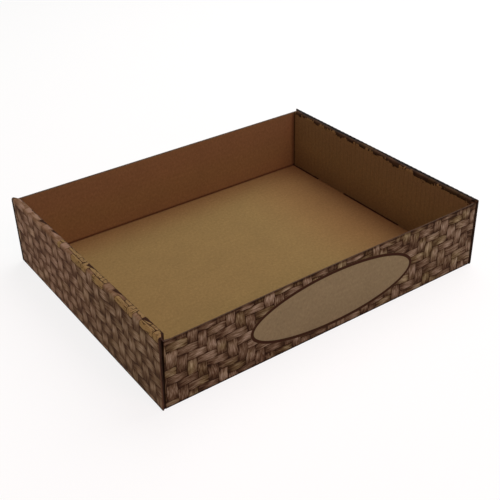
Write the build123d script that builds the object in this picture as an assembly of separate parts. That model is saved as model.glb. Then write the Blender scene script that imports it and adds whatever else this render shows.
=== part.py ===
"""A low tray folded from one die-cut blank of corrugated board.

The two long walls are a single ply. The two ends are double: each outer panel rolls over a narrow
rim into an inner panel, whose tabs lock into slots in the floor. The long walls' corner flaps lie
trapped between the two plies of the ends, so the tray holds together with no glue.

Millimetres, +Z up. X runs along the long walls, Y across the tray. The origin is at the middle of
the underside.
"""
import os

from build123d import *

# The folded tray, over its outer faces
tray_length = 356.0
tray_width = 279.0
end_height = 73.0

# The board, and the air that is left between plies folded on each other
board = 2.4
ply_gap = 0.2

# Folds: the outside rounds over, and the inside closes on a crushed score line
fold_radius = 1.8
score_radius = 0.45

# Corner flaps, between the plies of the double ends
flap_length = 74.0
flap_taper = 5.0
flap_nose = 12.0

# Inner panels of the double ends
panel_clearance = 2.0
panel_foot_gap = 1.0

# Locking tabs, each measured from the outer face of the nearer long wall
tab_offset = 50.0
tab_width = 45.0
tab_tip_gap = 0.4
tab_corner = 1.2
slot_clearance = 0.4

# Round end of the cut between an end panel and the corner flap beside it
relief_radius = 1.5

# How far a cutting shape reaches past what it cuts
overcut = 1.0

# Faces of the end's three plies, from the middle of the tray
end_face = tray_length / 2
end_inside = end_face - board
flap_face = end_inside - ply_gap
flap_inside = flap_face - board
panel_face = flap_inside - ply_gap
panel_inside = panel_face - board

# Faces and levels of the long walls, whose flaps fit under the rim and over the floor
side_face = tray_width / 2
side_inside = side_face - board
side_height = end_height - board - ply_gap
flap_foot = board + ply_gap

panel_end = side_inside - panel_clearance
panel_foot = board + panel_foot_gap
tab_middle = side_face - tab_offset - tab_width / 2


def score(x, y):
    """The score line's crushed round, seen along the fold."""
    return Pos(x, y) * Circle(score_radius)


def floor_and_side_folds():
    """The floor, folded up at both long edges as far as the foot of the corner flaps."""
    section = Rectangle(tray_width, flap_foot, align=(Align.CENTER, Align.MIN))
    section -= Pos(0, board) * Rectangle(
        2 * side_inside, flap_foot, align=(Align.CENTER, Align.MIN)
    )
    outer_corners = section.vertices().group_by(Axis.Y)[0]
    section = fillet(outer_corners, fold_radius)
    for side in (-1, 1):
        section -= score(side * side_inside, board)
    return extrude(Plane.YZ * section, flap_face, both=True)


def corner_flap():
    """The flap at the +X end of the front wall, tapered towards its nose so that it tucks in."""
    root = -side_face
    nose = root + flap_length
    outline = Polygon(
        (root, flap_foot),
        (nose - flap_nose, flap_foot),
        (nose, flap_foot + flap_nose),
        (nose, side_height - flap_nose - flap_taper),
        (nose - flap_nose, side_height - flap_taper),
        (root + board, side_height),
        (root, side_height),
        align=None,
    )
    return extrude(Plane.YZ.offset(flap_inside) * outline, board)


def long_wall():
    """The front wall above its floor fold, with a flap folded back at each end."""
    wall = Pos(0, -side_face, flap_foot) * Box(
        2 * flap_face,
        board,
        side_height - flap_foot,
        align=(Align.CENTER, Align.MIN, Align.MIN),
    )
    wall += corner_flap() + mirror(corner_flap(), Plane.YZ)
    upright = wall.edges().filter_by(Axis.Z)
    outer_corners = upright.group_by(Axis.Y)[0]
    wall = fillet(outer_corners, fold_radius)
    for end in (-1, 1):
        line = Pos(0, 0, flap_foot) * score(end * flap_inside, -side_inside)
        wall -= extrude(line, side_height)
    return wall


def end_section():
    """The +X end in section: floor, outer panel, rolled rim and inner panel."""
    section = Polygon(
        (flap_face, 0),
        (end_face, 0),
        (end_face, end_height),
        (panel_inside, end_height),
        (panel_inside, panel_foot),
        (panel_face, panel_foot),
        (panel_face, end_height - board),
        (end_inside, end_height - board),
        (end_inside, board),
        (flap_face, board),
        align=None,
    )
    outside = section.vertices().group_by(Axis.X)[-1] + section.vertices().group_by(Axis.Y)[-1]
    section = fillet(ShapeList(set(outside)), fold_radius)
    section -= score(end_inside, board)
    section -= score(end_inside, end_height - board)
    section -= score(panel_face, end_height - board)
    return section


def rim_trim():
    """What is cut off one end of the rim and of the inner panel, seen from above."""
    return Polygon(
        (panel_inside - overcut, panel_end),
        (panel_face, panel_end),
        (end_inside, side_face),
        (end_inside, side_face + overcut),
        (panel_inside - overcut, side_face + overcut),
        align=None,
    )


def locking_tab():
    """One tab of the +X inner panel, down into its floor slot."""
    outline = Pos(tab_middle, tab_tip_gap) * Rectangle(
        tab_width, panel_foot - tab_tip_gap, align=(Align.CENTER, Align.MIN)
    )
    outline = chamfer(outline.vertices().group_by(Axis.Y)[0], tab_corner)
    return extrude(Plane.YZ.offset(panel_inside) * outline, board)


def end_wall():
    """The +X end: the rolled section trimmed at both corners, with its two tabs."""
    wall = extrude(Plane.XZ * end_section(), side_face, both=True)
    trim = extrude(Pos(0, 0, board) * rim_trim(), end_height)
    wall -= trim + mirror(trim, Plane.XZ)
    return wall + locking_tab() + mirror(locking_tab(), Plane.XZ)


def floor_slots():
    """The four slots for the tabs, right through the floor."""
    slot = Pos((panel_inside + panel_face) / 2, tab_middle, board / 2) * Box(
        board + 2 * slot_clearance,
        tab_width + 2 * slot_clearance,
        board + 2 * overcut,
    )
    pair = slot + mirror(slot, Plane.XZ)
    return pair + mirror(pair, Plane.YZ)


def corner_reliefs():
    """The round end of each corner cut, left as a small hole where the folds meet."""
    relief = Pos(flap_face, side_face) * Cylinder(relief_radius, 2 * flap_foot)
    pair = relief + mirror(relief, Plane.XZ)
    return pair + mirror(pair, Plane.YZ)


def folded_tray():
    front = long_wall()
    right = end_wall()
    tray = floor_and_side_folds() - floor_slots()
    tray += [front, mirror(front, Plane.XZ), right, mirror(right, Plane.YZ)]
    return tray - corner_reliefs()


os.makedirs("parts", exist_ok=True)
export_step(folded_tray(), "parts/folded_tray.step")
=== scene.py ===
from math import cos, pi, radians
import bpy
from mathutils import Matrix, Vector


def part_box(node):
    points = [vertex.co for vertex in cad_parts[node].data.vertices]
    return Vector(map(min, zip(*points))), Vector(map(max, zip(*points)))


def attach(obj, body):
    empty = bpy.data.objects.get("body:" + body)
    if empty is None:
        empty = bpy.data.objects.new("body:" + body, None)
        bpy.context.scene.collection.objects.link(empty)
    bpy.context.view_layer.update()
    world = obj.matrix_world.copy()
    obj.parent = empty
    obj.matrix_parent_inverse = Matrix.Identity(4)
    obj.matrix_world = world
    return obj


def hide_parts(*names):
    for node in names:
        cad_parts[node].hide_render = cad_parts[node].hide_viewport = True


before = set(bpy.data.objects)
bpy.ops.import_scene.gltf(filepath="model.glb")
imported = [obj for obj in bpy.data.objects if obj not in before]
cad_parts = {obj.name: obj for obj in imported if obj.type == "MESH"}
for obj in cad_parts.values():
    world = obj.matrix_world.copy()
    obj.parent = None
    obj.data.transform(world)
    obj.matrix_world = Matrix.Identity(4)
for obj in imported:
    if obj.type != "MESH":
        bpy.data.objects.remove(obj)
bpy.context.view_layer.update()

from types import SimpleNamespace

import bpy
from mathutils import Quaternion, Vector

# The camera
# It stands to the left of the front wall and looks down into the tray with a short telephoto lens,
# held a little off level, as the photograph was taken.
camera_eye = Vector((-0.41426, -0.60792, 0.47910))
camera_aim = Vector((-0.01348, -0.03071, 0.03500))
camera_lens = 62.575
camera_roll = radians(-1.42)

camera_data = bpy.data.cameras.new("camera")
camera_data.lens = camera_lens
camera_data.sensor_width = 36
camera_data.clip_start = 0.01
camera = bpy.data.objects.new("camera", camera_data)
bpy.context.collection.objects.link(camera)
level_look = (camera_aim - camera_eye).to_track_quat("-Z", "Y")
camera.rotation_mode = "QUATERNION"
camera.rotation_quaternion = level_look @ Quaternion((0, 0, 1), camera_roll)
camera.location = camera_eye
bpy.context.scene.camera = camera

# The folded sheet
# One die-cut blank of brown B-flute board: the floor, two single long walls with their corner flaps,
# and two double ends rolled over at the rim. It is shaped from a copy of the tray's own solid, cut
# into strips so that the liners can lie a little washboarded over the flutes.
mm = 0.001
board = 2.4 * mm
ply_gap = 0.2 * mm
fold_radius = 1.8 * mm
score_radius = 0.45 * mm
panel_clearance = 2.0 * mm
flute_pitch = 6.25 * mm
cuts_per_flute = 4
flute_relief = 0.014 * mm
fold_relief = 0.2 * mm
wall_column = 22.0 * mm
corner_clear = 1.0 * mm
corner_taper = 5.0 * mm
printed_turn = 12.0 * mm
hair = 0.03 * mm
weld = 0.01 * mm
flat_within = radians(0.5)
facing = 0.9

tray_low, tray_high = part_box("folded_tray")
end_face = tray_high.x
side_face = tray_high.y
end_height = tray_high.z
end_inside = end_face - board
flap_face = end_inside - ply_gap
flap_inside = flap_face - board
panel_face = flap_inside - ply_gap
panel_inside = panel_face - board
rim_middle = (end_face + panel_inside) / 2
side_inside = side_face - board
side_height = end_height - board - ply_gap
flap_foot = board + ply_gap
panel_end = side_inside - panel_clearance

tray = bpy.data.objects.new("tray_sheet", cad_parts["folded_tray"].data.copy())
bpy.context.collection.objects.link(tray)
tray.data.materials.clear()
bpy.ops.object.select_all(action="DESELECT")
tray.select_set(True)
bpy.context.view_layer.objects.active = tray
bpy.ops.mesh.customdata_custom_splitnormals_clear()
bpy.ops.object.mode_set(mode="EDIT")
bpy.ops.mesh.select_mode(type="FACE")
bpy.ops.mesh.select_all(action="SELECT")
bpy.ops.mesh.remove_doubles(threshold=weld)
bpy.ops.mesh.dissolve_limited(angle_limit=flat_within)
bpy.ops.object.mode_set(mode="OBJECT")


def sign(number):
    return 1 if number > 0 else -1


def near(number, other):
    return abs(number - other) < hair


def near_score(number, fold):
    return abs(number - fold) < score_radius + hair


def on_underside(place, normal):
    return near(place.z, 0) and normal.z < -facing


def on_end_outside(place, normal):
    """The outer liner of an end: up the outer panel, over the rim and down the inner panel."""
    across = abs(place.x)
    outward = normal.x * sign(place.x)
    if abs(normal.y) > 0.5 or across < panel_inside - hair:
        return False
    if across > end_face - hair or place.z > end_height - hair:
        return True
    if near(across, panel_inside) and outward < -facing:
        return True
    in_top_fold = place.z > end_height - fold_radius
    in_outer_fold = across > end_face - fold_radius and (in_top_fold or place.z < fold_radius)
    in_rim_fold = across < panel_inside + fold_radius and in_top_fold
    return in_outer_fold and outward > 0 or in_rim_fold and outward < 0


def on_wall_outside(place, normal):
    """The outer liner of a long wall, its folds and its corner flaps."""
    along, across = abs(place.x), abs(place.y)
    outward = normal.y * sign(place.y)
    if along > flap_face + hair or abs(normal.z) > 0.5 and place.z > fold_radius:
        return False
    if near(across, side_face) and outward > facing:
        return True
    if near(along, flap_face) and normal.x * sign(place.x) > facing:
        return place.z > flap_foot
    in_floor_fold = across > side_face - fold_radius and place.z < fold_radius
    in_corner_fold = across > side_face - fold_radius and along > flap_face - fold_radius
    if in_floor_fold and abs(normal.x) < 0.5:
        return outward > 0
    return in_corner_fold and outward > 0 and place.z > flap_foot


def on_wall_inside(place, normal):
    """The inner liner of a long wall."""
    outward = normal.y * sign(place.y)
    return near(abs(place.y), side_inside) and outward < -facing and place.z > board


def on_inside(place, normal):
    """The inner liner: the floor, the walls' insides and what the folds hide of it."""
    across = abs(place.x)
    outward = normal.x * sign(place.x)
    if near(place.z, board) and normal.z > facing or on_wall_inside(place, normal):
        return True
    if near(across, flap_inside) or near(across, end_inside):
        return outward < -facing
    if near(across, panel_face):
        return outward > facing
    if near(place.z, end_height - board) and normal.z < -facing:
        return True
    if place.z > end_height - hair or abs(normal.z) < 0.5 and abs(normal.y) > 0.5:
        return False
    under_rim = place.z > end_height - board - score_radius - hair
    at_foot = near_score(place.z, board)
    if near_score(across, end_inside) and (under_rim or at_foot):
        return True
    if near_score(across, panel_face) and under_rim:
        return True
    in_corner_score = near_score(across, flap_inside) and abs(normal.z) < 0.5
    return near_score(abs(place.y), side_inside) and (at_foot or in_corner_score)


def show_only(wanted):
    """Goes into edit mode with only the wanted faces shown, so that only they are worked on."""
    for face in tray.data.polygons:
        face.select = bool(wanted(face.center, face.normal))
    bpy.ops.object.mode_set(mode="EDIT")
    bpy.ops.mesh.hide(unselected=True)
    bpy.ops.mesh.select_all(action="SELECT")


def show_all():
    bpy.ops.mesh.reveal(select=False)
    bpy.ops.object.mode_set(mode="OBJECT")


def cut_at(places, direction):
    """Cuts the shown faces by one plane at each place along the direction."""
    for place in places:
        bpy.ops.mesh.select_all(action="SELECT")
        bpy.ops.mesh.bisect(plane_co=place * direction, plane_no=direction)


def across_flutes(place, normal):
    on_floor = near(place.z, board) and normal.z > facing
    return on_floor or on_underside(place, normal) or on_end_outside(place, normal)


def on_wall_top(place, normal):
    at_top = near(place.z, side_height) and normal.z > facing
    return at_top and abs(place.y) > side_inside - hair and abs(place.x) < panel_inside + board


def in_corner_groove(place, normal):
    """The inner liner of an end's outer panel, where it shows beside the long wall's corner fold."""
    return near(abs(place.x), end_inside) and abs(normal.x) > facing


def upright_of_wall(place, normal):
    outside = on_wall_outside(place, normal) and not near(abs(place.x), flap_face)
    return outside or on_wall_inside(place, normal) or on_wall_top(place, normal)


def on_rim_top(place, normal):
    return place.z > end_height - fold_radius and on_end_outside(place, normal) and normal.z > 0


def past_rim_line(place):
    """In front of the line across the rim, from its outer corner to the inner panel's end."""
    share = (end_face - abs(place.x)) / (end_face - panel_inside)
    return abs(place.y) > side_face - share * (side_face - panel_end) + hair


strip = flute_pitch / cuts_per_flute
strips_to_side = int((side_face - hair) / strip)
strips_to_top = int(side_height / strip)
columns_to_end = int(flap_inside / wall_column)
columns = [count * wall_column for count in range(-columns_to_end, columns_to_end + 1)]
for from_corner in (corner_clear, corner_clear + corner_taper):
    columns += [from_corner - flap_inside, flap_inside - from_corner]
show_only(across_flutes)
cut_at([count * strip for count in range(-strips_to_side, strips_to_side + 1)], Vector((0, 1, 0)))
show_all()
show_only(upright_of_wall)
cut_at([count * strip for count in range(2, strips_to_top + 1)], Vector((0, 0, 1)))
cut_at(columns, Vector((1, 0, 0)))
show_all()
show_only(in_corner_groove)
cut_at([-side_inside, side_inside], Vector((0, 1, 0)))
show_all()
for end in (-1, 1):
    for side in (-1, 1):
        show_only(
            lambda place, normal: on_rim_top(place, normal) and place.x * end > 0 < place.y * side
        )
        across_rim = Vector((end * (side_face - panel_end), side * (panel_inside - end_face), 0))
        corner_place = Vector((end * end_face, side * side_face, end_height))
        bpy.ops.mesh.bisect(plane_co=corner_place, plane_no=across_rim)
        show_all()
show_only(on_underside)
cut_at([printed_turn - end_face, end_face - printed_turn], Vector((1, 0, 0)))
show_all()

# Maps of the sheet
# The artwork runs upright round the four walls, each on a metre of its own, and on over the rims and
# the folds. It is a little coarser on the ends. The board's own map gives the place along the flutes
# and across them, on every panel.
panel_step = 1.0
end_stretch = 1.04
end_print_rise = 4.0 * mm
outer_liner, inner_liner, cut_edge, shaded_edge = range(4)


def on_end_print(place, normal):
    """The end's own artwork: its outer liner, and what turns under the floor."""
    turned_under = on_underside(place, normal) and abs(place.x) > end_face - printed_turn
    return turned_under or on_end_outside(place, normal)


def artwork_place(corner, centre, on_end):
    """Where a point of the outer liner lies on the artwork, in metres."""
    from_end = end_face - abs(corner.x)
    from_side = side_face - abs(corner.y)
    if on_end:
        panel = 1 if centre.x > 0 else 3
        along = sign(centre.x) * corner.y / end_stretch
        if abs(centre.x) < rim_middle and centre.z > hair:
            up = end_height + from_end + end_height - corner.z
        elif centre.z < end_height / 2:
            up = corner.z - from_end
        else:
            up = corner.z + from_end
        up += end_print_rise
    else:
        panel = 0 if centre.y < 0 else 2
        turned = from_side if abs(centre.x) > flap_inside else 0
        along = -sign(centre.y) * (corner.x + sign(centre.x) * turned)
        up = corner.z - from_side if centre.z < fold_radius else corner.z
    return along + panel * panel_step, up


def board_place(corner, centre):
    """Where a point lies along the flutes and across them, in metres."""
    on_wall = abs(centre.y) > side_inside - hair and centre.z > board + hair
    on_flap = flap_inside - hair < abs(centre.x) < flap_face + hair
    if centre.z < side_height + hair and (on_wall or on_flap):
        return corner.x, corner.z
    if flap_foot < centre.z < end_height - fold_radius:
        return corner.z, corner.y
    return corner.x, corner.y


artwork_map = tray.data.uv_layers.new(name="artwork")
board_map = tray.data.uv_layers.new(name="board")
for face in tray.data.polygons:
    outside = on_end_outside(face.center, face.normal) or on_wall_outside(face.center, face.normal)
    # Painted shade for the rim corners, the corner grooves' outer strips and the inner panels' ends.
    if on_rim_top(face.center, face.normal) and past_rim_line(face.center):
        face.material_index = shaded_edge
    elif outside or on_underside(face.center, face.normal):
        face.material_index = outer_liner
    elif in_corner_groove(face.center, face.normal) and abs(face.center.y) > side_inside:
        face.material_index = shaded_edge
    elif on_inside(face.center, face.normal):
        face.material_index = inner_liner
    elif abs(face.center.x) > panel_inside - hair and abs(face.center.y) > panel_end - hair:
        face.material_index = shaded_edge
    else:
        face.material_index = cut_edge
    on_end = on_end_print(face.center, face.normal)
    for loop in face.loop_indices:
        corner = tray.data.vertices[tray.data.loops[loop].vertex_index].co
        artwork_map.data[loop].uv = artwork_place(corner, face.center, on_end)
        board_map.data[loop].uv = board_place(corner, face.center)

# The liners over the flutes
# Each liner is stuck to the tips of the flutes and sinks a little between them, more so where the
# board is bent over the rim.
sunk = {}
for face in tray.data.polygons:
    if face.material_index in (cut_edge, shaded_edge):
        continue
    if across_flutes(face.center, face.normal):
        direction = 1
    elif upright_of_wall(face.center, face.normal):
        direction = 2
    else:
        continue
    tip = 1 if face.material_index == outer_liner else -1
    for number in face.vertices:
        vertex = tray.data.vertices[number]
        depth = fold_relief if vertex.co.z > end_height - fold_radius + hair else flute_relief
        wave = 0.5 - 0.5 * tip * cos(2 * pi * vertex.co[direction] / flute_pitch)
        sunk[number] = vertex.co - vertex.normal * depth * wave
for number, place in sunk.items():
    tray.data.vertices[number].co = place

# The cut edges
# The front wall's top is crushed thin, from the inside. Where the blank was cut along its flutes, the
# two liners stand up as lips with a hollow between them, shallow along the walls' tops and deeper down
# the ends' corners.
crush = 1.2 * mm
crush_height = 5.0 * mm
lip = 0.3 * mm
lip_slope = 0.1 * mm
top_hollow = 0.2 * mm
corner_hollow = 0.6 * mm
panel_hollow = 1.2 * mm


def on_end_corner(place, normal):
    at_side = abs(place.y) > side_face - hair and abs(normal.y) > facing
    return at_side and abs(place.x) > end_inside


def on_panel_corner(place, normal):
    at_panel_end = near(abs(place.y), panel_end) and abs(normal.y) > facing
    return at_panel_end and panel_inside < abs(place.x) < panel_face


for vertex in tray.data.vertices:
    into_crush = (vertex.co.z - side_height) / crush_height + 1
    from_corner = (flap_inside - corner_clear - abs(vertex.co.x)) / corner_taper
    on_front_inside = abs(vertex.co.y + side_inside) < flute_relief + hair
    if on_front_inside and into_crush > 0 and from_corner > 0:
        vertex.co.y -= crush * min(into_crush, 1) * min(from_corner, 1)
tray.data.update()

for wanted, hollow in (
    (on_wall_top, top_hollow),
    (on_end_corner, corner_hollow),
    (on_panel_corner, panel_hollow),
):
    show_only(wanted)
    bpy.ops.mesh.inset(thickness=lip)
    bpy.ops.mesh.inset(thickness=lip_slope, depth=-hollow)
    show_all()

# The set of the walls
# The left end leans in a little towards its front corner, where the front wall's top dips and its
# corner fold is pressed back from the end, as in the photograph. Nothing moves at the floor.
end_lean = 2.3 * mm
lean_reach = 90.0 * mm
wall_dip = 3.2 * mm
dip_reach = 250.0 * mm
dip_blend = 0.5 * mm
fold_pressed = 0.7
smooth_up_to = radians(32)


def ease(share):
    share = min(max(share, 0), 1)
    return share * share * (3 - 2 * share)


for vertex in tray.data.vertices:
    place = vertex.co
    rise = max(place.z - flap_foot, 0) / (end_height - flap_foot)
    from_left = place.x + end_face
    to_front = (side_face - place.y) / (2 * side_face)
    lean = end_lean * rise * to_front * ease(1 - from_left / lean_reach)
    in_wall = ease((dip_blend - side_inside - place.y) / dip_blend) if place.x > -flap_face else 0
    dip = wall_dip * rise * in_wall * ease(1 - from_left / dip_reach) ** 2
    press = 0
    if place.y < -side_face + fold_radius + hair and -flap_face - hair < place.x < -flap_inside:
        press = fold_pressed * rise * (-flap_inside - place.x)
    vertex.co = (place.x + lean + press, place.y, place.z - dip)
    vertex.co.y = min(max(vertex.co.y, tray_low.y), tray_high.y)
    vertex.co.z = max(vertex.co.z, tray_low.z)
tray.data.update()

bpy.ops.object.shade_smooth_by_angle(angle=smooth_up_to)

# The kraft liner
# Unbleached brown paper: clouded, with fibres lying across the flutes, small dark specks and faint
# glue lines along the flutes. A painted shade tint reddens the long walls and the floor towards the
# back and the right; painted shade darkens the creases and the gaps at the inner panels.
kraft_inside = (125, 106, 67)
wall_shade_kraft = (127, 101, 64)
wall_top_shade_kraft = (128, 96, 65)
red_from_floor = (0.5 * mm, 2.0 * mm)
red_to_right = (50 * mm, 140 * mm)
red_to_back = (90 * mm, 135 * mm)
tops_from_floor = (20 * mm, 60 * mm)
kraft_outside = (127, 101, 66)
panel_top_shade_kraft = (115, 89, 60)
kraft_roughness = 0.88
speck_fade = (0.2, 0.27)
board_shine = 0.04
tooth_strength = 0.35
tooth_depth = 0.06 * mm
crease_shade_colour = (70, 42, 24)
crease_core = 0.2
crease_reach = 2.6 * mm
crease_shade_share = 0.75
corner_reach = 4.5 * mm
corner_shade_share = 0.5
gap_shadow_colour = (58, 37, 22)
panel_gap_shadow = 1.4 * mm
gap_blur = 0.3 * mm
gap_above_floor = (2.0 * mm, 1.0 * mm)
corner_gap_wall = (0.2 * mm, 0.5 * mm)
corner_gap_panel = (3.0 * mm, 3.5 * mm)
tab_offset = 50.0 * mm
tab_half = 22.5 * mm
tab_middle = side_face - tab_offset - tab_half


def paint(red, green, blue):
    """A colour in 8-bit screen values, as the shaders take it."""
    shares = [value / 255 for value in (red, green, blue)]
    return (*[s / 12.92 if s < 0.04045 else ((s + 0.055) / 1.055) ** 2.4 for s in shares], 1)


def shade(colour, factor):
    """The same screen colour, darker or lighter."""
    return paint(*[min(value * factor, 255) for value in colour])


def put(tree, kind, **settings):
    """Adds a node with these settings."""
    node = tree.nodes.new("ShaderNode" + kind)
    for name, value in settings.items():
        setattr(node, name, value)
    return node


def feed(socket, value):
    """Links a socket to another one, or sets it to a plain value."""
    if isinstance(value, bpy.types.NodeSocket):
        socket.id_data.links.new(value, socket)
    else:
        socket.default_value = value


def reckon(tree, operation, *values):
    """The result of one piece of arithmetic."""
    node = put(tree, "Math", operation=operation)
    for socket, value in zip(node.inputs, values):
        feed(socket, value)
    return node.outputs["Value"]


def product(tree, first, *others):
    """All of these multiplied together."""
    for other in others:
        first = reckon(tree, "MULTIPLY", first, other)
    return first


def highest(tree, first, *others):
    """The highest of these."""
    for other in others:
        first = reckon(tree, "MAXIMUM", first, other)
    return first


def fade(tree, value, start, end):
    """Goes smoothly from 0 to 1 as the value goes from start to end."""
    node = put(tree, "MapRange", interpolation_type="SMOOTHSTEP")
    for name, setting in (("Value", value), ("From Min", start), ("From Max", end)):
        feed(node.inputs[name], setting)
    return node.outputs["Result"]


def between(tree, share, first, second):
    """A number part of the way from the first to the second. A Mix node's sockets go by number."""
    node = put(tree, "Mix", data_type="FLOAT")
    for number, setting in ((0, share), (2, first), (3, second)):
        feed(node.inputs[number], setting)
    return node.outputs[0]


def mix_colours(tree, share, first, second):
    node = put(tree, "Mix", data_type="RGBA")
    for number, setting in ((0, share), (6, first), (7, second)):
        feed(node.inputs[number], setting)
    return node.outputs[2]


def spot(tree, x, y, z=0.0):
    """A place made of three numbers."""
    node = put(tree, "CombineXYZ")
    for socket, value in zip(node.inputs, (x, y, z)):
        feed(socket, value)
    return node.outputs["Vector"]


def noise(tree, place, detail=2.0):
    """Soft noise from about 0.3 to 0.7, with grains one unit across."""
    node = put(tree, "TexNoise")
    feed(node.inputs["Vector"], place)
    node.inputs["Scale"].default_value = 1.0
    node.inputs["Detail"].default_value = detail
    return node.outputs["Fac"]


def ramp(tree, value, *stops):
    """Colours laid along a value from 0 to 1."""
    node = put(tree, "ValToRGB")
    feed(node.inputs["Fac"], value)
    bands = node.color_ramp.elements
    bands[0].position, bands[0].color = stops[0]
    bands[1].position, bands[1].color = stops[-1]
    for position, colour in stops[1:-1]:
        bands.new(position).color = colour
    return node.outputs["Color"]


def split(tree, place):
    """The three numbers of a place."""
    node = put(tree, "SeparateXYZ")
    feed(node.inputs["Vector"], place)
    return [node.outputs[axis] for axis in ("X", "Y", "Z")]


def place_on_tray(tree):
    """The place in the tray's own frame, in metres."""
    return split(tree, put(tree, "TexCoord").outputs["Object"])


def map_in_millimetres(tree, name):
    """The two places on one of the sheet's maps, in millimetres."""
    along, across, _ = split(tree, put(tree, "UVMap", uv_map=name).outputs["UV"])
    return [reckon(tree, "MULTIPLY", place, 1 / mm) for place in (along, across)]


def kraft_grain(tree):
    """The bare liner's tone, from 0 to 1, and how high its fibres stand."""
    along, across = map_in_millimetres(tree, "board")

    def grains(length, width, detail, seed):
        place = spot(
            tree,
            reckon(tree, "DIVIDE", along, width),
            reckon(tree, "DIVIDE", across, length),
            seed,
        )
        return reckon(tree, "SUBTRACT", noise(tree, place, detail), 0.5)

    clouds = grains(length=28.0, width=28.0, detail=3.0, seed=1.0)
    mottle = grains(length=3.0, width=2.4, detail=3.0, seed=2.0)
    fibres = grains(length=2.6, width=0.35, detail=2.0, seed=3.0)
    specks = fade(tree, grains(length=0.7, width=0.45, detail=1.0, seed=4.0), *speck_fade)
    flute = reckon(tree, "COSINE", reckon(tree, "MULTIPLY", across, 2 * pi * mm / flute_pitch))
    tone = 0.5
    for part, weight in ((clouds, 0.2), (mottle, 0.62), (fibres, 0.55), (flute, 0.012), (specks, -0.4)):
        tone = reckon(tree, "MULTIPLY_ADD", part, weight, tone)
    return tone, reckon(tree, "ADD", fibres, mottle)


def paper_colour(tree, tone, colour):
    stops = [(position, shade(colour, 0.8 + 0.4 * position)) for position in (0.0, 0.5, 1.0)]
    return ramp(tree, tone, *stops)


def finish_board(material, colour, height, roughness):
    """Sets the board's shader: dull, with a fine tooth."""
    tree = material.node_tree
    shader = tree.nodes["Principled BSDF"]
    feed(shader.inputs["Base Color"], colour)
    feed(shader.inputs["Roughness"], roughness)
    shader.inputs["Specular IOR Level"].default_value = board_shine
    tooth = put(tree, "Bump")
    tooth.inputs["Strength"].default_value = tooth_strength
    tooth.inputs["Distance"].default_value = tooth_depth
    feed(tooth.inputs["Height"], height)
    feed(shader.inputs["Normal"], tooth.outputs["Normal"])


def new_material(name):
    material = bpy.data.materials.new(name)
    material.use_nodes = True
    return material


def crease(tree, offsets, reach):
    """Goes to 1 along a fold that lies where both offsets, in metres, are nothing."""
    squares = [reckon(tree, "MULTIPLY", offset, offset) for offset in offsets]
    away = reckon(tree, "SQRT", reckon(tree, "ADD", *squares))
    return fade(tree, away, reach, crease_core * reach)


plain_liner = new_material("kraft_inside")
inside_tree = plain_liner.node_tree
liner_tone, liner_height = kraft_grain(inside_tree)
to_right, to_back, from_ground = place_on_tray(inside_tree)
from_middle, from_centre = [reckon(inside_tree, "ABSOLUTE", place) for place in (to_right, to_back)]
from_panel = reckon(inside_tree, "SUBTRACT", from_middle, panel_inside)
from_wall = reckon(inside_tree, "SUBTRACT", from_centre, side_inside)
from_floor = reckon(inside_tree, "SUBTRACT", from_ground, board)
from_tab = reckon(inside_tree, "ABSOLUTE", reckon(inside_tree, "SUBTRACT", from_centre, tab_middle))

# Painted shade tint: redder kraft on the walls, more so near their tops, and towards the back and right.
shade_reddened = highest(
    inside_tree,
    fade(inside_tree, from_floor, *red_from_floor),
    fade(inside_tree, to_right, *red_to_right),
    fade(inside_tree, to_back, *red_to_back),
)
liner_colour, shaded_wall_colour, shaded_top_colour = [
    paper_colour(inside_tree, liner_tone, colour) for colour in (kraft_inside, wall_shade_kraft, wall_top_shade_kraft)
]
shaded_wall_colour = mix_colours(
    inside_tree, fade(inside_tree, from_floor, *tops_from_floor), shaded_wall_colour, shaded_top_colour
)
liner_colour = mix_colours(inside_tree, shade_reddened, liner_colour, shaded_wall_colour)
# Painted shade along the floor's creases at the long walls and down the corners by the inner panels.
floor_crease = crease(inside_tree, (from_wall, from_floor), crease_reach)
corner_crease = crease(inside_tree, (from_wall, from_panel), corner_reach)
crease_shade = highest(
    inside_tree,
    product(inside_tree, floor_crease, crease_shade_share),
    product(inside_tree, corner_crease, corner_shade_share),
)
liner_colour = mix_colours(inside_tree, crease_shade, liner_colour, paint(*crease_shade_colour))
# Painted shadow on the floor along the inner panels' feet, except at the tabs, and in the gaps at their
# ends.
shadow_under_panel = product(
    inside_tree,
    fade(inside_tree, from_panel, -panel_gap_shadow, gap_blur - panel_gap_shadow),
    fade(inside_tree, from_tab, tab_half - gap_blur, tab_half + gap_blur),
    fade(inside_tree, from_floor, *gap_above_floor),
)
corner_gap_shadow = product(
    inside_tree,
    fade(inside_tree, from_wall, *corner_gap_wall),
    fade(inside_tree, from_panel, *corner_gap_panel),
)
in_gap = highest(inside_tree, shadow_under_panel, corner_gap_shadow)
liner_colour = mix_colours(inside_tree, in_gap, liner_colour, paint(*gap_shadow_colour))
finish_board(plain_liner, liner_colour, liner_height, kraft_roughness)

# The printed outside
# A basket weave of flat strands in brown inks, over two and under two. It bleeds round the bottom folds
# and stops raggedly inside the rims. The front wall has an oval left plain in it, under a pale tint,
# with a dark ring. Lengths are in millimetres on the artwork's map.
artwork_step = panel_step / mm
left_end_from = 2.5 * artwork_step
wall_top = side_height / mm
end_rise = end_print_rise / mm
rim_foot = end_rise + (end_height - fold_radius / 2) / mm

# The strands, and the grid they lie on
strand_width = 9.7
strand_height = 8.15
end_strand_height = 8.85
column_start = -143.15
row_start = 81.6
end_row_start = 79.8
sway = 8.0
sway_length = 38.0
corner_round = 1.5
tip_pinch = 0.4
tip_shadow = 5.0
outline_fray = 1.4
outline_fade = (0.65, 0.05)
side_fade = (2.8, 0.3)
first_peak = 0.45
peak_spread = 0.3
glow_fade = (0.48, 0.05)
luck_spread = 50.0
upright_luck = 7.3

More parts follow.
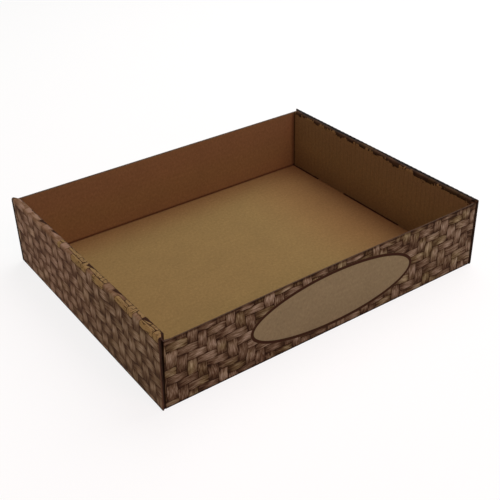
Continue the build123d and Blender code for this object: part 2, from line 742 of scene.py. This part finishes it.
# The inks, and how they change from panel to panel
ink_tones = (
    (0.0, (35, 21, 12)),
    (0.25, (60, 42, 28)),
    (0.5, (89, 71, 54)),
    (0.75, (118, 102, 84)),
    (1.0, (147, 133, 116)),
)
strand_tone = 0.3
ink_outline = (44, 26, 15)
ink_roughness = 0.75
margin = 3.0
margin_at_end = 1.0
margin_at_foot = 1.2
margin_at_top = 0.6
top_margin_share = 0.6
edge_shade_tone = -0.6
wall_end = 176.6
wall_blend = 0.1
olive_tint = (0.98, 1.05, 0.82, 1)
olive_patch = 22.0
olive_contrast = 2.0
olive_fade = (0.45, 1.1)
olive_on_left = 0.3
rose_tint = (1.06, 0.95, 1.0, 1)
rose_fade = (3100.0, 2940.0)
left_contrast = 0.72
left_lift = 0.07
left_lift_fade = (3120.0, 2880.0)
left_glow = 0.16
left_rim_tone = 0.2
left_rim_fade = (3030.0, 2960.0)
rim_warm = (116, 90, 66)
rim_warm_share = 0.5
right_rim_shade_tones = (0.0, 0.32)
rim_tone_fade = (wall_top + 2, wall_top + 8)

# Painted shade: dark lines along the folds and the left end's far edge
shade_line_colour = (12, 8, 6)
rim_line = (82.2, 81.0)
rim_line_blur = 1.0
foot_line = (2.3, 1.4)
far_line = (2869.8, 2869.0)

# The ragged end of the print inside the rims, the right end's first
bleed = 6.0
bleed_blur = 0.3
ragged_tops = (86.7, 87.3)
ragged_fade = (-0.8, -1.6)
last_strand_middle = 87.0
last_strand_lift = 2.0
right_teeth = 6.0
left_teeth = 2.4
tooth_fray = 6.0
right_fray = 14.0
fray_grain = (3.0, 5.0)
right_rim_gaps = (85.2, 84.4)
gap_ink_share = 0.7
rim_edge = (82.9, 83.6)
rim_edge_fray = 5.0
rim_edge_patch = 9.0
rim_edge_break = (0.4, 0.5)
rim_edge_shares = (0.3, 0.9)
notch_pitch = 23.0
notch_taper = 1.5
notch_depth = 4.6
notch_chance = (0.2, 0.8)
notch_least = (0.3, 0.6)
notch_tip = (0.0, 0.1)
notch_foot = (84.0, 84.4)
notch_top = (86.6, 86.2)

# The pale strands along the left rim
pale_strand = (129, 108, 71)
pale_strokes = (0.06, 0.12)
first_bare_middle = 74.0
bare_after = 2965.0
bare_chance = 0.25
bare_corner = (3110.0, 3090.0)

# The oval, and the painted shade on the bare top of the inner panels
oval_middle = (1.3, 35.7)
oval_reach = (91.7, 28.7)
oval_ring = 3.1
oval_blur = 0.25
ring_blur = 0.3
oval_tint = (120, 109, 83)
ring_ink = (48, 28, 17)
panel_top = (86.0, 88.0)
panel_fade = (128.0, 90.0)


def without(tree, share):
    """What a share leaves of 1."""
    return reckon(tree, "SUBTRACT", 1, share)


def tint(tree, share, colour, factor):
    """The colour multiplied by a tint, by a share."""
    node = put(tree, "Mix", data_type="RGBA", blend_type="MULTIPLY")
    for number, setting in ((0, share), (6, colour), (7, factor)):
        feed(node.inputs[number], setting)
    return node.outputs[2]


def oval_distance(tree, along, up):
    """How far a place is outside the oval, about; inside it is below 0."""
    parts = []
    for place, middle, reach in zip((along, up), oval_middle, oval_reach):
        offset = reckon(tree, "SUBTRACT", place, middle)
        parts.append((reckon(tree, "DIVIDE", offset, reach), reach))
    squares = [reckon(tree, "MULTIPLY", part, part) for part, reach in parts]
    size = reckon(tree, "SQRT", reckon(tree, "ADD", *squares))
    slopes = [reckon(tree, "DIVIDE", square, reach**2) for square, (part, reach) in zip(squares, parts)]
    slope = reckon(tree, "SQRT", reckon(tree, "ADD", *slopes))
    step = product(tree, size, reckon(tree, "SUBTRACT", size, 1))
    return reckon(tree, "DIVIDE", step, highest(tree, slope, 0.0001))


def panel_edge_shade(tree, on_wall, along, up, from_foot):
    """Goes to 1 as painted shade in each panel's corner folds and foot, and less so under the walls' tops.
    """
    from_middle = reckon(tree, "PINGPONG", along, artwork_step / 2)
    over_end = reckon(tree, "SUBTRACT", from_middle, wall_end)
    at_end = product(tree, on_wall, fade(tree, over_end, -margin, -margin_at_end))
    at_foot = fade(tree, from_foot, margin, margin_at_foot)
    at_top = fade(tree, up, wall_top - margin, wall_top - margin_at_top)
    return highest(tree, at_end, at_foot, product(tree, on_wall, at_top, top_margin_share))


def swayed_place(tree, along, up):
    """The place on the strands' grid, which isn't quite straight."""
    shift = put(tree, "TexNoise")
    feed(shift.inputs["Vector"], spot(tree, along, up))
    shift.inputs["Scale"].default_value = 1 / sway_length
    shift.inputs["Detail"].default_value = 2.0
    swayed = []
    for place, number in zip((along, up), split(tree, shift.outputs["Color"])):
        offset = reckon(tree, "SUBTRACT", number, 0.5)
        swayed.append(reckon(tree, "MULTIPLY_ADD", offset, sway, place))
    return swayed


def find_strand(tree, swayed, on_wall):
    """The strand that lies on top at a place, its own luck, and where on it the place is."""
    row_height = between(tree, on_wall, end_strand_height, strand_height)
    first_edge = between(tree, on_wall, end_row_start, row_start)
    column_at = reckon(tree, "DIVIDE", reckon(tree, "SUBTRACT", swayed[0], column_start), strand_width)
    row_at = reckon(tree, "DIVIDE", reckon(tree, "SUBTRACT", swayed[1], first_edge), row_height)
    column = reckon(tree, "FLOOR", column_at)
    row = reckon(tree, "FLOOR", row_at)
    in_column = reckon(tree, "SUBTRACT", column_at, column)
    in_row = reckon(tree, "SUBTRACT", row_at, row)
    turn = reckon(tree, "FLOORED_MODULO", reckon(tree, "ADD", reckon(tree, "ADD", column, row), 2), 4)
    upright = reckon(tree, "GREATER_THAN", turn, 1.5)
    second = reckon(tree, "MULTIPLY_ADD", upright, -2, turn)
    first_column = reckon(tree, "SUBTRACT", column, between(tree, upright, second, 0.0))
    first_row = reckon(tree, "SUBTRACT", row, between(tree, upright, 0.0, second))
    whole_length = reckon(tree, "ADD", second, between(tree, upright, in_column, in_row))
    row_middle = reckon(tree, "ADD", first_row, reckon(tree, "MULTIPLY_ADD", upright, 0.5, 0.5))
    luck = put(tree, "TexWhiteNoise", noise_dimensions="3D")
    luck_place = spot(tree, first_column, first_row, product(tree, upright, upright_luck))
    feed(luck.inputs["Vector"], luck_place)
    return SimpleNamespace(
        column=column,
        upright=upright,
        row_height=row_height,
        across=between(tree, upright, in_row, in_column),
        lengthwise=product(tree, whole_length, 0.5),
        middle=reckon(tree, "MULTIPLY_ADD", row_middle, row_height, first_edge),
        luck=luck.outputs["Value"],
        chances=split(tree, luck.outputs["Color"]),
    )


def streaks(tree, strand, grains_along, grains_across, detail):
    """Noise drawn out along the strand, from about -0.2 to 0.2, different on each strand."""
    stretched = product(tree, strand.lengthwise, grains_along)
    place = spot(
        tree,
        reckon(tree, "MULTIPLY_ADD", strand.luck, luck_spread, stretched),
        product(tree, strand.across, grains_across),
        product(tree, strand.chances[0], luck_spread),
    )
    return reckon(tree, "SUBTRACT", noise(tree, place, detail), 0.5)


def strand_edges(tree, strand, fine_streak):
    """How near a place is to the strand's outline, to its rounded sides and to its tips, up to 1."""
    side = reckon(tree, "MINIMUM", strand.across, without(tree, strand.across))
    side_away = product(tree, side, between(tree, strand.upright, strand.row_height, strand_width))
    tip = reckon(tree, "MINIMUM", strand.lengthwise, without(tree, strand.lengthwise))
    tip_away = product(tree, tip, between(tree, strand.upright, 2 * strand_width, 2 * strand_height))
    near_tip = fade(tree, tip_away, tip_shadow, 0.0)
    pinch = product(tree, strand.chances[1], tip_pinch, near_tip)
    slim_side = reckon(tree, "SUBTRACT", side_away, pinch)
    into_corner = [
        highest(tree, reckon(tree, "SUBTRACT", corner_round, away), 0) for away in (slim_side, tip_away)
    ]
    corner_squares = [reckon(tree, "MULTIPLY", part, part) for part in into_corner]
    corner_away = reckon(tree, "SQRT", reckon(tree, "ADD", *corner_squares))
    edge_away = reckon(tree, "SUBTRACT", corner_round, corner_away)
    frayed_away = reckon(tree, "MULTIPLY_ADD", fine_streak, outline_fray, edge_away)
    return fade(tree, frayed_away, *outline_fade), fade(tree, side_away, *side_fade), near_tip


def rim_notches(tree, along, up):
    """Goes to 1 in the dark wedges that the print's end leaves along the left rim's inner edge."""
    notch_at = reckon(tree, "DIVIDE", along, notch_pitch)
    notch = reckon(tree, "FLOOR", notch_at)
    taper = reckon(tree, "MULTIPLY_ADD", reckon(tree, "SUBTRACT", notch_at, notch), -notch_taper, 1)
    notch_luck = put(tree, "TexWhiteNoise", noise_dimensions="1D")
    feed(notch_luck.inputs["W"], notch)
    depth = product(tree, fade(tree, notch_luck.outputs["Value"], *notch_chance), notch_depth)
    return product(
        tree,
        fade(tree, reckon(tree, "MULTIPLY_ADD", taper, depth, up), *notch_foot),
        fade(tree, taper, *notch_tip),
        fade(tree, depth, *notch_least),
        fade(tree, up, *notch_top),
    )


def basket_weave(tree, along, up):
    """The ink's colour at a place on the artwork, and how much of it covers the kraft."""
    on_wall = reckon(tree, "COSINE", product(tree, along, pi / artwork_step))
    on_wall = fade(tree, on_wall, -wall_blend, wall_blend)
    on_left = reckon(tree, "GREATER_THAN", along, left_end_from)
    off_left = without(tree, on_left)
    from_foot = reckon(tree, "SUBTRACT", up, between(tree, on_wall, end_rise, 0.0))
    swayed = swayed_place(tree, along, up)
    strand = find_strand(tree, swayed, on_wall)
    first_chance, second_chance, third_chance = strand.chances

    # The strand's tone, with its streaks, its lit middle and its dark outline
    broad_streak = streaks(tree, strand, grains_along=1.8, grains_across=3.5, detail=2.0)
    fine_streak = streaks(tree, strand, grains_along=3.0, grains_across=11.0, detail=3.0)
    outline, rounding, near_tip = strand_edges(tree, strand, fine_streak)
    peak = reckon(tree, "MULTIPLY_ADD", third_chance, peak_spread, first_peak)
    from_peak = reckon(tree, "ABSOLUTE", reckon(tree, "SUBTRACT", strand.lengthwise, peak))
    glow = fade(tree, from_peak, *glow_fade)
    # Painted shade at the panels' edges.
    edge_shade_share = panel_edge_shade(tree, on_wall, along, up, from_foot)
    tone = strand_tone
    for part, weight in (
        (glow, 0.26),
        (second_chance, 0.24),
        (broad_streak, 0.9),
        (fine_streak, 1.2),
        (rounding, -0.07),
        (near_tip, -0.08),
        (outline, -0.36),
        (edge_shade_share, edge_shade_tone),
    ):
        tone = reckon(tree, "MULTIPLY_ADD", part, weight, tone)

    # The left end is printed softer and its rim lighter; the right rim is darkened with painted shade
    evened = reckon(tree, "MULTIPLY_ADD", tone, left_contrast, 0.5 - 0.5 * left_contrast)
    evened = reckon(tree, "MULTIPLY_ADD", fade(tree, along, *left_lift_fade), left_lift, evened)
    evened = reckon(tree, "MULTIPLY_ADD", reckon(tree, "SUBTRACT", glow, 0.5), left_glow, evened)
    evened = between(tree, edge_shade_share, evened, tone)
    tone = between(tree, on_left, tone, evened)
    raised = reckon(tree, "MULTIPLY_ADD", fade(tree, along, *left_rim_fade), left_rim_tone, tone)
    lowest, share = right_rim_shade_tones
    right_rim_shade = reckon(tree, "MULTIPLY_ADD", tone, share, lowest)
    at_rim = fade(tree, up, *rim_tone_fade)
    tone = between(tree, at_rim, tone, between(tree, on_left, right_rim_shade, raised))
    ink = ramp(tree, tone, *[(position, paint(*colour)) for position, colour in ink_tones])

    # The painted shade lines along the folds, and the tints in patches, over the left end's far part and
    # on its rim
    over_rim = fade(tree, up, rim_foot - rim_line_blur, rim_foot)
    on_line = highest(
        tree,
        fade(tree, from_foot, *foot_line),
        product(tree, fade(tree, swayed[1], *rim_line), over_rim, off_left),
        product(tree, on_left, fade(tree, along, *far_line)),
    )
    ink = mix_colours(tree, on_line, ink, paint(*shade_line_colour))
    patch = noise(tree, spot(tree, *[reckon(tree, "DIVIDE", place, olive_patch) for place in (along, up)]))
    patch = reckon(tree, "SUBTRACT", patch, 0.5)
    patch = reckon(tree, "MULTIPLY_ADD", patch, olive_contrast, first_chance)
    olive_share = product(tree, fade(tree, patch, *olive_fade), between(tree, on_left, 1.0, olive_on_left))
    ink = tint(tree, olive_share, ink, olive_tint)
    ink = tint(tree, product(tree, on_left, fade(tree, along, *rose_fade)), ink, rose_tint)
    ink = mix_colours(tree, product(tree, at_rim, on_left, rim_warm_share), ink, paint(*rim_warm))

    # The pale strands in the left end's last row, and the dark broken edge and wedges beside them
    chance = product(tree, fade(tree, along, *bare_corner), bare_chance)
    bare = product(
        tree,
        reckon(tree, "GREATER_THAN", strand.middle, first_bare_middle),
        reckon(tree, "GREATER_THAN", along, bare_after),
        reckon(tree, "GREATER_THAN", third_chance, chance),
    )
    strokes = highest(tree, outline, fade(tree, fine_streak, *pale_strokes))
    pale_ink = mix_colours(tree, strokes, paint(*pale_strand), paint(*ink_outline))
    ink = mix_colours(tree, bare, ink, pale_ink)
    rim_end = reckon(tree, "MULTIPLY_ADD", fine_streak, rim_edge_fray, up)
    edge_patch = noise(tree, spot(tree, reckon(tree, "DIVIDE", along, rim_edge_patch), 0.5))
    broken = between(tree, fade(tree, edge_patch, *rim_edge_break), *rim_edge_shares)
    in_notch = product(tree, rim_notches(tree, swayed[0], up), on_left)
    on_edge = product(tree, fade(tree, rim_end, *rim_edge), on_left, broken)
    ink = mix_colours(tree, highest(tree, on_edge, in_notch), ink, paint(*ink_outline))

    # How far the print reaches over the rims and under the floor
    tooth = put(tree, "TexWhiteNoise", noise_dimensions="2D")
    feed(tooth.inputs["Vector"], spot(tree, strand.column, strand.upright))
    teeth = product(tree, tooth.outputs["Value"], between(tree, on_left, right_teeth, left_teeth))
    teeth = reckon(tree, "MULTIPLY_ADD", fine_streak, tooth_fray, teeth)
    fray_place = [reckon(tree, "DIVIDE", place, grain) for place, grain in zip((along, up), fray_grain)]
    fray = reckon(tree, "SUBTRACT", noise(tree, spot(tree, *fray_place)), 0.5)
    teeth = reckon(tree, "MULTIPLY_ADD", fray, between(tree, on_left, right_fray, 0.0), teeth)
    past_top = reckon(tree, "GREATER_THAN", strand.middle, last_strand_middle)
    above_top = reckon(tree, "SUBTRACT", swayed[1], teeth)
    above_top = reckon(tree, "MULTIPLY_ADD", past_top, last_strand_lift, above_top)
    above_top = reckon(tree, "SUBTRACT", above_top, between(tree, on_left, *ragged_tops))
    below_top = fade(tree, above_top, *ragged_fade)
    in_gap = product(tree, off_left, fade(tree, up, *right_rim_gaps), gap_ink_share)
    below_top = highest(tree, below_top, in_gap, in_notch)
    above_bleed = fade(tree, swayed[1], -bleed - bleed_blur, -bleed + bleed_blur)
    return ink, product(tree, below_top, above_bleed)


printed_liner = new_material("printed_outside")
outside_tree = printed_liner.node_tree
paper_tone, paper_height = kraft_grain(outside_tree)
art_along, art_up = map_in_millimetres(outside_tree, "artwork")
weave_ink, weave_share = basket_weave(outside_tree, art_along, art_up)
from_oval = oval_distance(outside_tree, art_along, art_up)
outside_oval = fade(outside_tree, from_oval, -oval_blur, oval_blur)
past_ring = fade(outside_tree, from_oval, -oval_ring - ring_blur, -oval_ring + ring_blur)
in_ring = product(outside_tree, without(outside_tree, outside_oval), past_ring)
# Painted shade: the inner panels' bare kraft darkens towards the rim.
panel_top_shade = product(
    outside_tree, fade(outside_tree, art_up, *panel_top), fade(outside_tree, art_up, *panel_fade)
)
oval_paper, bare_paper, shaded_panel_paper = [
    paper_colour(outside_tree, paper_tone, colour) for colour in (oval_tint, kraft_outside, panel_top_shade_kraft)
]
bare_paper = mix_colours(outside_tree, panel_top_shade, bare_paper, shaded_panel_paper)
plain_paper = mix_colours(outside_tree, outside_oval, oval_paper, bare_paper)
ink_share = product(outside_tree, weave_share, outside_oval)
woven = mix_colours(outside_tree, ink_share, plain_paper, weave_ink)
outside_colour = mix_colours(outside_tree, in_ring, woven, paint(*ring_ink))
outside_roughness = between(outside_tree, weave_share, kraft_roughness, ink_roughness)
finish_board(printed_liner, outside_colour, paper_height, outside_roughness)

# The raw edges
# The cut board shows its paper in section: a rougher brown than the liners, darkened with painted
# shade of the open flutes, its fibres torn a little by the knife. The ends' cut edges and corner gaps
# take painted shade: nearly black on the right but for the inner side; on the left dark at the back.
# At the front on the left, the outer lip is left lighter.
edge_brown = (80, 66, 54)
left_edge_shade = (58, 43, 35)
far_edge_shade = (36, 25, 18)
right_edge_shade = (30, 20, 14)
inner_edge_shade = (60, 42, 31)
inner_edge_shade_from = (1.5, 2.0)
edge_blend = 0.1
lip_brown = (88, 66, 50)
lip_reach = (1.7, 0.3)
lip_blur = 0.3
edge_roughness = 0.95

cut_edges = new_material("cut_edges")
cut_tree = cut_edges.node_tree
cut_tone, cut_height = kraft_grain(cut_tree)
finish_board(cut_edges, paper_colour(cut_tree, cut_tone, edge_brown), cut_height, edge_roughness)

# Painted shade over the ends' cut edges and the corner gaps.
shaded_edges = new_material("shaded_edges")
shaded_tree = shaded_edges.node_tree
shaded_tone, shaded_height = kraft_grain(shaded_tree)
left_shade, far_shade, lip_paper, right_shade, inner_shade = [
    paper_colour(shaded_tree, shaded_tone, colour)
    for colour in (left_edge_shade, far_edge_shade, lip_brown, right_edge_shade, inner_edge_shade)
]
edge_to_right, edge_to_back, _ = place_on_tray(shaded_tree)
along_edge, up_edge = map_in_millimetres(shaded_tree, "artwork")
along_edge = reckon(shaded_tree, "PINGPONG", along_edge, artwork_step)
inside_face = reckon(shaded_tree, "SUBTRACT", end_face / mm, along_edge)
lip_end = between(shaded_tree, fade(shaded_tree, up_edge, 0.0, end_height / mm), *lip_reach)
at_lip = fade(shaded_tree, reckon(shaded_tree, "SUBTRACT", inside_face, lip_end), lip_blur, -lip_blur)
left_shade = mix_colours(shaded_tree, at_lip, left_shade, lip_paper)
at_back = fade(shaded_tree, edge_to_back, -edge_blend, edge_blend)
left_shade = mix_colours(shaded_tree, at_back, left_shade, far_shade)
at_inner = fade(shaded_tree, inside_face, *inner_edge_shade_from)
right_shade = mix_colours(shaded_tree, at_inner, right_shade, inner_shade)
on_right = fade(shaded_tree, edge_to_right, -edge_blend, edge_blend)
shaded_edge_colour = mix_colours(shaded_tree, on_right, left_shade, right_shade)
finish_board(shaded_edges, shaded_edge_colour, shaded_height, edge_roughness)

for material in (printed_liner, plain_liner, cut_edges, shaded_edges):
    tray.data.materials.append(material)
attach(tray, "root")
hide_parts("folded_tray")

# The ground
# A wide white sweep that shows white to the camera, with part of the tray's soft shadow.
ground_half = 3.0
ground_drop = 0.02 * mm
shadow_share = 0.16
ground_white = (0.94, 0.94, 0.94, 1)

bpy.ops.mesh.primitive_plane_add(size=2 * ground_half, location=(0, 0, -ground_drop))
ground = bpy.context.active_object
ground.name = "ground"
ground_paint = new_material("ground_white")
ground_tree = ground_paint.node_tree
ground_shader = ground_tree.nodes["Principled BSDF"]
ground_shader.inputs["Base Color"].default_value = ground_white
ground_shader.inputs["Roughness"].default_value = 1.0
ground_shader.inputs["Specular IOR Level"].default_value = 0.0
white_glow = put(ground_tree, "Emission")
blend = put(ground_tree, "MixShader")
rays = put(ground_tree, "LightPath")
seen = reckon(ground_tree, "MAXIMUM", rays.outputs["Is Camera Ray"], rays.outputs["Is Glossy Ray"])
feed(blend.inputs[0], reckon(ground_tree, "MULTIPLY", seen, 1 - shadow_share))
feed(blend.inputs[1], ground_shader.outputs["BSDF"])
feed(blend.inputs[2], white_glow.outputs["Emission"])
feed(ground_tree.nodes["Material Output"].inputs["Surface"], blend.outputs["Shader"])
ground.data.materials.append(ground_paint)

# The light
# A broad soft lamp high up on the right and a little behind, a smaller warm one in front, two weak ones
# low down on the left and in front, and a dim even room. The room shows white to the camera.
overhead_power = 25.3
front_power = 11.6
left_power = 10.0
low_power = 3.1
plain_light = (1.0, 1.0, 0.98)
warm_light = (1.0, 0.52, 0.51)
left_light = (1.0, 0.82, 0.62)
cool_light = (0.4, 1.0, 0.9)
room_light = 0.1


def soft_lamp(name, place, aim, size, power, colour):
    lamp_data = bpy.data.lights.new(name, "AREA")
    lamp_data.shape = "DISK"
    lamp_data.size = size
    lamp_data.energy = power
    lamp_data.color = colour
    lamp = bpy.data.objects.new(name, lamp_data)
    bpy.context.collection.objects.link(lamp)
    lamp.location = place
    lamp.rotation_mode = "QUATERNION"
    lamp.rotation_quaternion = (Vector(aim) - Vector(place)).to_track_quat("-Z", "Y")


soft_lamp("overhead", (0.76, 0.34, 1.3), (0, 0, 0.02), 1.6, overhead_power, plain_light)
soft_lamp("front", (0.0, -1.1, 1.1), (0, 0, 0.02), 1.0, front_power, warm_light)
soft_lamp("left", (-1.6, 0.1, 0.15), (0, 0, 0.02), 0.6, left_power, left_light)
soft_lamp("low_front", (0.1, -1.6, 0.15), (0, 0, 0.02), 0.6, low_power, cool_light)

world = bpy.data.worlds.new("room")
bpy.context.scene.world = world
world.use_nodes = True
world_tree = world.node_tree
room = world_tree.nodes["Background"]
room.inputs["Color"].default_value = (1, 1, 1, 1)
world_rays = put(world_tree, "LightPath")
shown = world_rays.outputs["Is Camera Ray"]
for other in ("Is Glossy Ray", "Is Transmission Ray"):
    shown = reckon(world_tree, "MAXIMUM", shown, world_rays.outputs[other])
feed(room.inputs["Strength"], between(world_tree, shown, room_light, 1.0))

bpy.context.scene.view_settings.view_transform = "Standard"
